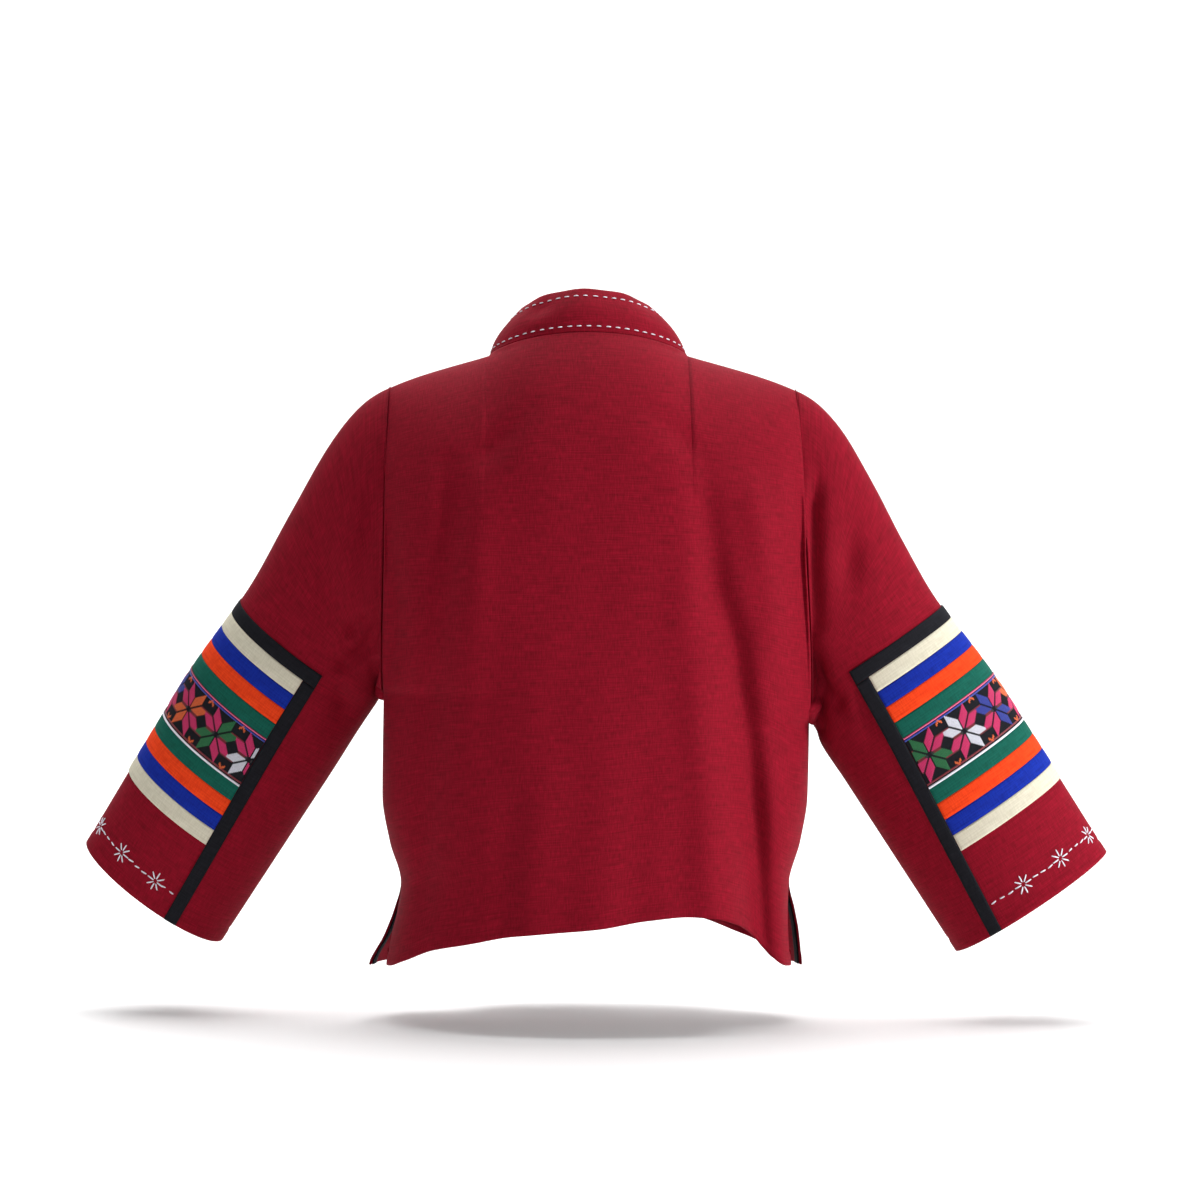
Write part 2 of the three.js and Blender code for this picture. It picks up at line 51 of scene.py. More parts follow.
GAP = 0.3  # clear space at a seam
ARMHOLE_GAP = 0.9
LINEN = 1.6  # walls: the body and sleeves, the doubled collar, and the strips and facings
COLLAR_WALL = 2.6
TRIM = 1.0
LIFT = 0.5  # clear space under a strip
NECK = dict(x=6.5, half=95, back=62, front=58, side=-3, rise=18, fall=59)
COLLAR = dict(x=8, half=69, back=41, shift=19, front=31, side=32, rise=26, fall=48, bulge=4)
ARMHOLE_DEPTH = 57  # half of its front-to-back opening
CHEST_Z = -195  # above this level the body rolls over to the shoulders
RIM_Z, HEM_LEVEL = -33.0, -580.0  # levels at which the shoulder's and the hem's widths are read
SECTION_POWER, SECTION_ROOT = 2.3, 0.55  # how square the level sections are
BODY = dict(
    z=[-33, -195, -340, -424, -468, -508, -534, -557, -590],
    backLeft=[197, 199, 203, 204, 197, 186, 189.5, 195, 200],
    backRight=[193, 199, 205.5, 204, 197, 186, 185, 185.5, 188],
    frontLeft=[197, 199, 203, 204, 197, 186.5, 193, 202, 217],
    frontRight=[193, 199, 205.5, 204, 197, 186.5, 192, 196, 198.5],
    back=[122, 132, 138, 138, 138, 139, 140, 141, 142],
    front=[118, 126, 130, 130, 130, 131, 132, 133, 134],
)
HEM_X = [-188, -168, -151, -135, -113, -86, -50, -5, 76, 126, 155, 183, 200]
HEM_Z = [-586, -575, -553, -539, -531, -529, -532, -539, -547, -557, -564, -578, -586]
FRONT_HEM = dict(corner=-587, rise=44, power=2.6)
SLEEVES = {
    "left": dict(
        sign=1, top=-33.6, under=-324, cuff_out=(499, -473), cuff_in=(367, -571),
        out_dir=(-0.5395, 0.842), in_dir=(-0.554, 0.8325), cuff_y=-75, underarm=300, twist=(14, 5),
    ),
    "right": dict(
        sign=-1, top=-36.5, under=-354, cuff_out=(-491, -478), cuff_in=(-347, -574),
        out_dir=(0.545, 0.8385), in_dir=(0.546, 0.838), cuff_y=-5, underarm=262, twist=(24, 5),
    ),
}
SLEEVE_DEPTH = 56  # half of the sleeve's front-to-back size
SLEEVE_LENGTH = 430  # from the armhole's middle to the cuff
SLEEVE_TUBE = 300  # the straight part, up from the cuff
UNDERARM_FROM = 110  # degrees from the sleeve's ridge, where its rings begin to close up
UNDERARM_EASE, UNDERARM_SPARE = 60, 8  # where they start, and how short of the seam they stop
SWELL_UP, SWELL_OUT = [0, 100, 190, 300], [0, 1, 1, -5]
PANEL_TOP, BINDING, STRIPE, BAND = 284, 14, 16.6, 53  # up from the cuff's rim
INNER, OUTER = 94.2, 104  # degrees from the ridge to the edges of the long black strips
COLOURS = ["cream", "blue", "orange", "green"]
EDGES = [PANEL_TOP - BINDING - 8 * STRIPE - BAND]
for step in [STRIPE] * 4 + [BAND] + [STRIPE] * 4 + [BINDING]:
    EDGES.append(EDGES[-1] + step)

CREASE_DEPTH = 1.5  # how much deeper the creases are drawn than their tables say

# Creases seen from behind: the half-width, then (x, z, depth) down the line. A negative depth is a ridge.
BACK_CREASES = [
    (15, [(-99, -122, 2), (-105, -165, 5), (-112, -227, 8), (-127, -271, 10),
          (-140, -359, 13), (-148, -445, 17), (-157, -590, 21)]),
    (21, [(-74, -170, 0), (-86, -260, -3), (-104, -400, -6), (-116, -590, -8)]),
    (16, [(-149, -110, 0), (-150, -150, -4), (-166, -240, -3), (-178, -330, 0)]),
    (13, [(137, -112, 2), (131, -150, 6), (137, -196, 5),
          (152, -315, 5), (157, -445, 5), (160, -560, 1)]),
    (19, [(112, -150, -1), (110, -230, -3), (124, -350, -2), (128, -520, 0)]),
    (8, [(-186, -100, 0), (-191, -150, 6), (-192, -200, 9), (-196, -300, 8), (-199, -360, 3)]),
    (9, [(193, -125, 1), (192, -195, 6), (187, -237, 7), (189, -275, 8), (197, -310, 4)]),
    (12, [(60, -60, 1), (92, -95, 3), (120, -118, 0)]),
    (13, [(-52, -62, 1), (-86, -92, 3), (-112, -120, 0)]),
    (26, [(30, -280, 0), (22, -400, 2), (30, -560, 3)]),
    (22, [(-30, -330, 0), (-38, -430, 2), (-34, -560, 4)]),
    (17, [(70, -380, 0), (80, -470, 3), (86, -590, 5)]),
]
FRONT_CREASES = [
    (20, [(118, -170, 3), (132, -400, 8), (146, -590, 13)]),
    (20, [(-116, -150, 3), (-128, -360, 7), (-140, -590, 11)]),
    (26, [(62, -260, -1), (66, -420, -3), (70, -590, -5)]),
    (9, [(191, -130, 2), (189, -230, 7), (195, -310, 3)]),
    (9, [(-190, -120, 2), (-193, -220, 8), (-198, -340, 3)]),
    (15, [(-60, -220, 1), (-44, -380, 4), (-52, -580, 5)]),
]
SLEEVE_CREASES = {
    "left": [
        (8, [(203, -245, 2), (207, -262, 7), (219, -286, 8), (236, -298, 4), (252, -302, 0)]),
        (7, [(209, -250, 1), (219, -259, 5), (228, -265, 5), (236, -277, 1)]),
        (7, [(212, -290, 2), (206, -306, 7), (202, -322, 7)]),
        (11, [(246, -318, 1), (238, -338, 4), (256, -372, 1)]),
        (12, [(216, -110, 0), (212, -165, 4), (222, -225, 1)]),
        (14, [(262, -170, 0), (250, -230, 3), (262, -280, 0)]),
    ],
    "right": [
        (8, [(-202, -270, 2), (-210, -315, 8), (-226, -333, 7), (-236, -349, 2)]),
        (8, [(-211, -112, 1), (-207, -150, 6), (-206, -205, 5), (-208, -260, 3)]),
        (13, [(-243, -160, 1), (-242, -200, 5), (-240, -240, 1)]),
        (9, [(-207, -300, 2), (-209, -335, 7), (-213, -360, 3)]),
        (12, [(-262, -300, 0), (-258, -345, 4), (-270, -385, 1)]),
    ],
}

# How finely the grids are drawn: columns across half of the neck and along a shoulder, and rows down.
NECK_COLUMNS, SHOULDER_COLUMNS = 64, 40
SEAM_ROWS, SEAM_SHARE = 12, 0.02  # creases fade out over these rows, and this share of the width, at seams
SOFT_SAMPLES, SOFT_REACH, SOFT_SPREAD = 240, 24, 14.0  # samples across, and the reach of the averaging
SOFT_WIDTH, SOFT_ROWS = 46, 5  # where below the collar's corners it acts
CHEST_ROWS, BACK_ROWS, FRONT_ROWS = 62, 96, 90
CAP_ROWS, TUBE_ROWS, SLEEVE_COLUMNS = 62, 90, 150
COLLAR_ROWS, COLLAR_COLUMNS = 26, 241

# ------------------------------------------------------------------ curves and grids


def smooth(t):
    t = np.clip(t, 0, 1)
    return t * t * (3 - 2 * t)


def lerp(a, b, t):
    return a + (b - a) * t


def curve(xs, ys, at):
    """A smooth monotone curve through a table, at any places."""
    xs, ys = np.asarray(xs, float), np.asarray(ys, float)
    if xs[0] > xs[-1]:
        xs, ys = xs[::-1], ys[::-1]
    d = np.diff(ys) / np.diff(xs)
    m = np.zeros(len(xs))
    turns = d[:-1] * d[1:] > 0
    both = np.where(turns, d[:-1] + d[1:], 1)
    m[1:-1] = np.where(turns, 2 * d[:-1] * d[1:] / both, 0)
    x = np.clip(at, xs[0], xs[-1])
    i = np.clip(np.searchsorted(xs, x, side="right") - 1, 0, len(xs) - 2)
    h = xs[i + 1] - xs[i]
    t = (x - xs[i]) / h
    p, q = ys[i], ys[i + 1]
    straight = p + (q - p) * t * t * (3 - 2 * t)
    return straight + m[i] * h * t * (1 - t) ** 2 - m[i + 1] * h * t * t * (1 - t)


def bezier(a, b, c, d, t):
    u = 1 - t
    return a * u**3 + 3 * b * u * u * t + 3 * c * u * t * t + d * t**3


def normals(grid, round_=False):
    if round_:
        across = np.roll(grid, -1, 1) - np.roll(grid, 1, 1)
    else:
        across = np.gradient(grid, axis=1)
    n = np.cross(np.gradient(grid, axis=0), across)
    return n / np.maximum(np.linalg.norm(n, axis=2, keepdims=True), 1e-9)


def creases(lines, x, z):
    """How far in the cloth lies at each place, from the creases' lines."""
    total = np.zeros(np.shape(x))
    for wide, line in lines:
        best, depth = np.full(np.shape(x), 1e9), np.zeros(np.shape(x))
        for (x0, z0, d0), (x1, z1, d1) in zip(line, line[1:]):
            dx, dz = x1 - x0, z1 - z0
            t = np.clip(((x - x0) * dx + (z - z0) * dz) / (dx * dx + dz * dz), 0, 1)
            far = np.hypot(x - x0 - t * dx, z - z0 - t * dz)
            near = far < best
            best, depth = np.where(near, far, best), np.where(near, lerp(d0, d1, smooth(t)), depth)
        total += CREASE_DEPTH * depth * np.exp(-((best / wide) ** 2))
    return total


# ------------------------------------------------------------------ body


def side_word(sign):
    return "left" if sign > 0 else "right"


def armhole_depth(s, z):
    """Half of the armhole's opening, front to back, at each level."""
    half = np.empty(np.shape(z))
    for sign in (1, -1):
        v = SLEEVES[side_word(sign)]
        r = (v["top"] - v["under"]) / 2
        t = (z - (v["top"] + v["under"]) / 2) / r
        here = ARMHOLE_DEPTH * np.sqrt(np.maximum(0, 1 - t * t))
        half = np.where(np.sign(s + 1e-9) == sign, here, half)
    return half


def edge_x(face, s, z):
    """How far out a column lies: s runs from -1, the right edge, to 1, the left edge."""
    left = curve(BODY["z"], BODY[face + "Left"], z)
    right = curve(BODY["z"], BODY[face + "Right"], z)
    return s * np.where(s >= 0, left, right)


def neck_seam(angle, sign):
    """Points of the neck seam: 0 degrees is the middle of the back, 90 the side and 180 the front."""
    a = np.radians(angle)
    c = np.cos(a)
    back, front = np.maximum(c, 0), np.maximum(-c, 0)
    x = NECK["x"] + sign * NECK["half"] * np.sin(a)
    y = NECK["back"] * back - NECK["front"] * front
    z = NECK["side"] + NECK["rise"] * back**1.6 - NECK["fall"] * front**1.3
    return np.stack([x, y, z], -1)


def places(face, sign):
    """Columns from the middle to one side: their tops, their s, and how far each is into the neck, 0 to 1."""
    a = np.linspace(0, 90, NECK_COLUMNS)
    top = neck_seam(a if face == "back" else 180 - a, sign)
    s = top[:, 0] / np.abs(edge_x(face, np.sign(top[:, 0]), np.full(len(a), RIM_Z)))
    turn0 = math.asin(abs(s[-1]))
    turns = np.linspace(turn0, math.pi / 2, SHOULDER_COLUMNS)[1:]
    out = (np.sin(turns) - math.sin(turn0)) / (1 - math.sin(turn0))
    v = SLEEVES[side_word(sign)]
    drop = 0.86 * out + 0.14 * out**4
    end = float(edge_x("back", float(sign), np.array(float(v["top"]))))
    x = lerp(NECK["x"] + sign * NECK["half"], end, out)
    shoulder = np.stack([x, 0 * out, lerp(NECK["side"], v["top"], drop)], -1)
    tops = np.concatenate([top, shoulder])
    ss = np.concatenate([s, sign * np.sin(turns)])
    at_neck = np.concatenate([np.cos(np.radians(a)), 0 * out])
    return tops, ss, at_neck


def body_level(face, s, z):
    """Points of the body's level sections, without their creases."""
    way = 1 if face == "back" else -1
    profile = (1 - np.minimum(1, np.abs(s) ** SECTION_POWER)) ** SECTION_ROOT
    x = edge_x(face, s, z)
    y = lerp(armhole_depth(s, z), curve(BODY["z"], BODY[face], z), profile)
    return np.stack([x, way * np.maximum(y, GAP / 2), z], -1)


def hem_z(face, x):
    """The level of the bottom edge."""
    if face == "back":
        return curve(HEM_X, HEM_Z, x)
    f = FRONT_HEM
    return f["corner"] + f["rise"] * (1 - np.clip(np.abs(x) / 190, 0, 1) ** f["power"])


def front_edge(z):
    """The line on which the two fronts meet."""
    low = NECK["side"] - NECK["fall"]
    return lerp(NECK["x"], 0, np.clip((z - low) / (CHEST_Z - low), 0, 1))


def soften_below(grid, corner):
    """The fullness below a corner of the collar eases away into the cloth round it."""
    k = np.exp(-((np.arange(-SOFT_REACH, SOFT_REACH + 1) / SOFT_SPREAD) ** 2))
    for j in range(1, grid.shape[0]):
        x, y = grid[j, :, 0], grid[j, :, 1]
        even = np.linspace(x.min(), x.max(), SOFT_SAMPLES)
        flat = np.interp(even, x[::-1], y[::-1]) if x[0] > x[-1] else np.interp(even, x, y)
        soft = np.convolve(np.pad(flat, SOFT_REACH, mode="edge"), k / k.sum(), "valid")
        weight = np.exp(-(((x - corner) / SOFT_WIDTH) ** 2)) * smooth(j / SOFT_ROWS)
        grid[j, :, 1] = lerp(y, np.interp(x, even, soft), weight)


def body_grid(face, tops, s, at_neck, lower, lines):
    """The outer face of the back or of a front, from its top seam to the hem."""
    way = 1 if face == "back" else -1
    chest = body_level(face, s, np.full(len(s), float(CHEST_Z)))
    shelf = (1 - np.abs(s)) * 8 + 24 * at_neck
    bend = np.stack([tops[:, 0], lerp(tops[:, 1], chest[:, 1], 0.52), tops[:, 2] - shelf], -1)
    hang = chest + np.stack([0 * s, 0 * s, 0.5 * (tops[:, 2] - CHEST_Z)], -1)
    t = np.linspace(0, 1, CHEST_ROWS + 1)[:-1, None, None]
    top_rows = bezier(tops[None], bend[None], hang[None], chest[None], t)
    bottom = hem_z(face, edge_x(face, s, np.full(len(s), HEM_LEVEL)))
    z = lerp(float(CHEST_Z), bottom[None, :], np.linspace(0, 1, lower)[:, None])
    low_rows = body_level(face, np.broadcast_to(s, z.shape), z)
    grid = np.concatenate([top_rows, low_rows])
    rim = np.abs(s) > 0.999
    zz = grid[:, rim, 2]
    ss = np.broadcast_to(s[rim], zz.shape)
    grid[:, rim, 0] = edge_x(face, ss, zz)
    grid[:, rim, 1] = way * np.maximum(armhole_depth(ss, zz), GAP / 2)
    for side in (1, -1):
        soften_below(grid, NECK["x"] + side * NECK["half"])
    held = smooth(np.arange(grid.shape[0]) / SEAM_ROWS)[:, None]
    near_rim = smooth((1 - np.abs(s)) / SEAM_SHARE)[None, :]
    depth = creases(lines, grid[..., 0], grid[..., 2]) * held * near_rim
    wander = ripple(grid[..., 0], grid[..., 2]) * held * near_rim
    grid[..., 1] -= way * (depth + wander)
    grid[0, at_neck < 0.01, 1] = way * GAP / 2
    return grid


def ripple(x, z):
    """Slight unevenness of hanging linen, up to half a millimetre or so."""
    return (0.5 * np.sin(x / 17 + 1.3 * np.sin(z / 61)) * np.sin(z / 47 + 0.8)
            + 0.35 * np.sin(x / 9.3 + z / 83 + 2) * np.sin(z / 29 + x / 120)
            + 0.6 * np.sin(x / 31 + z / 210 + 0.6))


def shell(name, grid, thick, away, material, round_=False, inner=None):
    """A closed wall of cloth: the outer grid, and the same moved in. Its UVs are metres along the cloth."""
    n = normals(grid, round_) * away
    inner = grid - n * thick if inner is None else inner
    rows, cols = grid.shape[:2]
    verts = np.concatenate([grid.reshape(-1, 3), inner.reshape(-1, 3)]) * MM
    j, i = np.meshgrid(np.arange(rows - 1), np.arange(cols if round_ else cols - 1), indexing="ij")
    j, i = j.ravel(), i.ravel()
    k = (i + 1) % cols
    a, b, c, d = j * cols + i, (j + 1) * cols + i, (j + 1) * cols + k, j * cols + k
    off = rows * cols
    faces = [np.stack([a, b, c, d], 1), np.stack([a, d, c, b], 1) + off]
    i = np.arange(cols if round_ else cols - 1)
    k = (i + 1) % cols
    faces.append(np.stack([i, k, k + off, i + off], 1))
    last = (rows - 1) * cols
    faces.append(np.stack([last + k, last + i, last + i + off, last + k + off], 1))
    if not round_:
        j = np.arange(rows - 1)
        a, b = j * cols, (j + 1) * cols
        faces.append(np.stack([b, a, a + off, b + off], 1))
        a, b = a + cols - 1, b + cols - 1
        faces.append(np.stack([a, b, b + off, a + off], 1))
    faces = np.concatenate(faces)
    v = verts[faces]
    vol = np.einsum("ij,ij->i", v[:, 0], np.cross(v[:, 1], v[:, 2])).sum()
    vol += np.einsum("ij,ij->i", v[:, 0], np.cross(v[:, 2], v[:, 3])).sum()
    if vol < 0:
        faces = faces[:, ::-1]
    du = np.linalg.norm(np.diff(grid, axis=1), axis=2).mean(0)
    dv = np.linalg.norm(np.diff(grid, axis=0), axis=2).mean(1)
    u = np.concatenate([[0], np.cumsum(du)])[None, :].repeat(rows, 0)
    w = np.concatenate([[0], np.cumsum(dv)])[:, None].repeat(cols, 1)
    uv = np.stack([u, w], -1).reshape(-1, 2) * MM
    obj = mesh_object(name, verts, faces, [material])
    layer = obj.data.uv_layers.new(name="cloth")
    layer.data.foreach_set("uv", np.concatenate([uv, uv])[faces.ravel()].ravel())
    return obj


def mesh_object(name, verts, faces, materials, index=None):
    mesh = bpy.data.meshes.new(name)
    mesh.from_pydata(np.asarray(verts).tolist(), [], np.asarray(faces).tolist())
    for m in materials:
        mesh.materials.append(m)
    if index is not None:
        mesh.polygons.foreach_set("material_index", np.asarray(index, np.int32))
    mesh.polygons.foreach_set("use_smooth", np.ones(len(mesh.polygons), bool))
    mesh.update()
    obj = bpy.data.objects.new(name, mesh)
    bpy.context.scene.collection.objects.link(obj)
    return obj


# ------------------------------------------------------------------ sleeves

ARC_SAMPLES = 721
STRIP_INSET = 0.12  # degrees at each side of a strip
STRIP_SINK = 0.25  # how much a strip's edges are pressed down


def twist(v, up):
    return lerp(v["twist"][0], v["twist"][1], up / PANEL_TOP)


def sleeve_axis(v):
    """Unit vector down the sleeve."""
    lean = -v["cuff_y"] / SLEEVE_LENGTH
    flat = math.sqrt(1 - lean * lean)
    return np.array([-v["out_dir"][0] * flat, -lean, -v["out_dir"][1] * flat])


def tube_point(v, up, turn):
    """A point `up` from the cuff's rim and `turn` degrees round from the ridge, + towards the back."""
    up, turn = np.broadcast_arrays(np.asarray(up, float), np.asarray(turn, float))
    a = np.radians(turn + twist(v, up))
    swell = curve(SWELL_UP, SWELL_OUT, up)
    ox = v["cuff_out"][0] + v["out_dir"][0] * up + v["sign"] * swell * 0.84
    oz = v["cuff_out"][1] + v["out_dir"][1] * up + swell * 0.54
    ix = v["cuff_in"][0] + v["in_dir"][0] * up
    iz = v["cuff_in"][1] + v["in_dir"][1] * up
    middle = np.stack([(ox + ix) / 2, v["cuff_y"] * (1 - up / SLEEVE_LENGTH), (oz + iz) / 2], -1)
    across = np.stack([(ox - ix) / 2, 0 * up, (oz - iz) / 2], -1)
    along = sleeve_axis(v)
    through = np.array([0, 1, 0]) - along * along[1]
    through /= np.linalg.norm(through)
    return middle + across * np.cos(a)[..., None] + through * (SLEEVE_DEPTH * np.sin(a))[..., None]


def tube_up(v, up, turn):
    """Under the arm the rings of the sleeve close up, because the body is in the way."""
    from_under = np.abs(((turn + twist(v, up) + 360) % 360) - 180)
    under = smooth(1 - from_under / (180 - UNDERARM_FROM))
    start = v["underarm"] - UNDERARM_EASE
    squeeze = (v["underarm"] - UNDERARM_SPARE - start) / (SLEEVE_TUBE - start)
    closed = np.where(up < start, up, start + (up - start) * squeeze)
    return lerp(up, np.minimum(up, closed), under)


def on_tube(v, up, turn):
    up, turn = np.broadcast_arrays(np.asarray(up, float), np.asarray(turn, float))
    return tube_point(v, tube_up(v, up, turn), turn)


def sleeve_grid(v):
    """The sleeve's outer face from the armhole to the cuff, and the angle of each column."""
    turn = np.linspace(-180, 180, SLEEVE_COLUMNS + 1)[:-1]
    a = np.radians(turn)
    half, mid = (v["top"] - v["under"]) / 2, (v["top"] + v["under"]) / 2
    z = mid + half * np.cos(a)
    x = edge_x("back", np.full(SLEEVE_COLUMNS, float(v["sign"])), z)
    start = np.stack([x, ARMHOLE_DEPTH * np.sin(a), z], -1)
    end = on_tube(v, SLEEVE_TUBE, turn)
    reach = np.linalg.norm(end - start, axis=1)[:, None]
    over = (1 + np.cos(a)) / 2
    out = np.stack([v["sign"] * lerp(0.6, 0.955, over), 0.1 * np.sin(a), -lerp(0.8, 0.3, over)], -1)
    out /= np.linalg.norm(out, axis=1)[:, None]
    leave, arrive = start + out * 0.23 * reach, end - sleeve_axis(v) * 0.37 * reach
    t = np.linspace(0, 1, CAP_ROWS + 1)[:-1, None, None]
    cap = bezier(start[None], leave[None], arrive[None], end[None], t)
    cap[0, :, 0] += v["sign"] * ARMHOLE_GAP
    ups = np.linspace(SLEEVE_TUBE, 0, TUBE_ROWS)
    tube = on_tube(v, ups[:, None], turn[None, :])
    return np.concatenate([cap, tube]), turn


def arc_turns(v, up):
    """Turn angles against arc length round the panel at one level, from the strip behind."""
    turn = np.linspace(INNER, -INNER, ARC_SAMPLES)
    p = on_tube(v, up, turn)
    length = np.concatenate([[0], np.cumsum(np.linalg.norm(np.diff(p, axis=0), axis=1))])
    return turn, length


def tube_frame(v, up, turn):
    """A point on the sleeve, with its outward normal, and the directions round and up the sleeve."""
    p = on_tube(v, up, turn)
    round_ = on_tube(v, up, turn + 0.5) - on_tube(v, up, turn - 0.5)
    rise = on_tube(v, up + 0.5, turn) - on_tube(v, up - 0.5, turn)
    round_ /= np.linalg.norm(round_, axis=-1, keepdims=True)
    rise /= np.linalg.norm(rise, axis=-1, keepdims=True)
    n = np.cross(rise, round_) * -v["sign"]
    n /= np.linalg.norm(n, axis=-1, keepdims=True)
    return p, n, round_, rise


def strip_object(name, v, levels, turns, material, rows=9, cols=110, puff=0.35):
    """A strip of cotton sewn on the sleeve, between two levels and two angles, crowned by `puff`."""
    ups = np.linspace(levels[0] + GAP / 2, levels[1] - GAP / 2, rows)[:, None]
    turns = np.linspace(turns[0] + STRIP_INSET, turns[1] - STRIP_INSET, cols)[None, :]
    p, n, _, _ = tube_frame(v, ups + 0 * turns, turns + 0 * ups)
    u, w = np.linspace(-1, 1, rows)[:, None], np.linspace(-1, 1, cols)[None, :]
    crown = puff * (1 - u**4) * (1 - w**8)
    grid = p + n * (LIFT + TRIM + crown - STRIP_SINK)[..., None]
    return shell(name, grid, TRIM, 1, material, inner=p + n * LIFT)


# ------------------------------------------------------------------ materials


THREAD_LAYERS = (((0.22, 4.2, 1), 3), ((4.0, 0.6, 1), 3))  # stretch and detail: across, then down
WEAVE_SCALE, ROUGHNESS, SPECULAR, SHEEN_ROUGHNESS = 2600.0 / 14, 0.85, 0.12, 0.55
BUMP_STRENGTH, BUMP_HEIGHT = 0.25, 0.0006
THREAD_ROUGHNESS, THREAD_SHEEN = 0.6, 0.2


def cloth_material(name, low, high, slub=0.7, sheen=0.25):
    """Woven cloth: two colours mixed by slubby threads across and down, with a bump of the threads."""
    m = bpy.data.materials.new(name)
    m.use_nodes = True
    t, links = m.node_tree, m.node_tree.links
    shader = t.nodes["Principled BSDF"]
    shader.inputs["Roughness"].default_value = ROUGHNESS
    shader.inputs["Specular IOR Level"].default_value = SPECULAR
    shader.inputs["Sheen Weight"].default_value = sheen
    shader.inputs["Sheen Roughness"].default_value = SHEEN_ROUGHNESS
    shader.inputs["Sheen Tint"].default_value = (*high, 1)
    uv = t.nodes.new("ShaderNodeUVMap")
    uv.uv_map = "cloth"
    threads = []
    for stretch, detail in THREAD_LAYERS:
        mapping = t.nodes.new("ShaderNodeMapping")
        mapping.inputs["Scale"].default_value = stretch
        noise = t.nodes.new("ShaderNodeTexNoise")
        noise.inputs["Scale"].default_value = WEAVE_SCALE
        noise.inputs["Detail"].default_value = detail
        links.new(uv.outputs["UV"], mapping.inputs["Vector"])
        links.new(mapping.outputs["Vector"], noise.inputs["Vector"])
        threads.append(noise)
    both = t.nodes.new("ShaderNodeMath")
    both.operation = "ADD"
    links.new(threads[0].outputs["Fac"], both.inputs[0])
    links.new(threads[1].outputs["Fac"], both.inputs[1])
    spread = t.nodes.new("ShaderNodeMapRange")
    spread.inputs["From Min"].default_value = 1 - slub / 2
    spread.inputs["From Max"].default_value = 1 + slub / 2
    links.new(both.outputs[0], spread.inputs["Value"])
    mix = t.nodes.new("ShaderNodeMix")
    mix.data_type = "RGBA"
    mix.inputs["A"].default_value = (*low, 1)
    mix.inputs["B"].default_value = (*high, 1)
    links.new(spread.outputs["Result"], mix.inputs["Factor"])
    links.new(mix.outputs["Result"], shader.inputs["Base Color"])
    bumped = t.nodes.new("ShaderNodeBump")
    bumped.inputs["Strength"].default_value = BUMP_STRENGTH
    bumped.inputs["Distance"].default_value = BUMP_HEIGHT
    links.new(both.outputs[0], bumped.inputs["Height"])
    links.new(bumped.outputs["Normal"], shader.inputs["Normal"])
    return m


def thread_material(name, colour):
    """Plain embroidery cotton."""
    m = bpy.data.materials.new(name)
    m.use_nodes = True
    shader = m.node_tree.nodes["Principled BSDF"]
    shader.inputs["Base Color"].default_value = (*colour, 1)
    shader.inputs["Roughness"].default_value = THREAD_ROUGHNESS
    shader.inputs["Sheen Weight"].default_value = THREAD_SHEEN
    return m


RED = cloth_material("linen_crimson", (0.125, 0.0008, 0.006), (0.27, 0.0024, 0.016), sheen=0.06)
CLOTH = {
    "black": cloth_material("cotton_black", (0.004, 0.004, 0.006), (0.012, 0.012, 0.016), slub=0.9),
    "cream": cloth_material("cotton_cream", (0.50, 0.46, 0.35), (0.66, 0.62, 0.50)),
    "blue": cloth_material("cotton_blue", (0.003, 0.012, 0.19), (0.006, 0.028, 0.34)),
    "orange": cloth_material("cotton_orange", (0.60, 0.028, 0.004), (0.86, 0.065, 0.010)),
    "green": cloth_material("cotton_green", (0.003, 0.060, 0.042), (0.006, 0.11, 0.078)),
}
THREAD = {
    "magenta": thread_material("thread_magenta", (0.60, 0.008, 0.12)),
    "maroon": thread_material("thread_maroon", (0.17, 0.001, 0.010)),
    "green": thread_material("thread_green", (0.002, 0.14, 0.035)),
    "orange": thread_material("thread_orange", (0.72, 0.11, 0.012)),
    "white": thread_material("thread_white", (0.68, 0.68, 0.76)),
    "blue": thread_material("thread_blue", (0.008, 0.025, 0.30)),
    "pink": thread_material("thread_pink", (0.72, 0.10, 0.26)),
    "black": thread_material("thread_black", (0.010, 0.008, 0.010)),
}
THREAD_NAMES = list(THREAD)

# ------------------------------------------------------------------ attaching pieces


def place(obj, node=None):
    """Attaches a piece to the root, and hides the CAD node that it stands for."""
    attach(obj, "root")
    if node:
        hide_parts(node)
    return obj


SLIT_Z = -500  # where the side slits start
FACING_STEPS = (3.2, 6, 9, 12, 15, 18)  # the facing's columns, measured in from the slit's edge


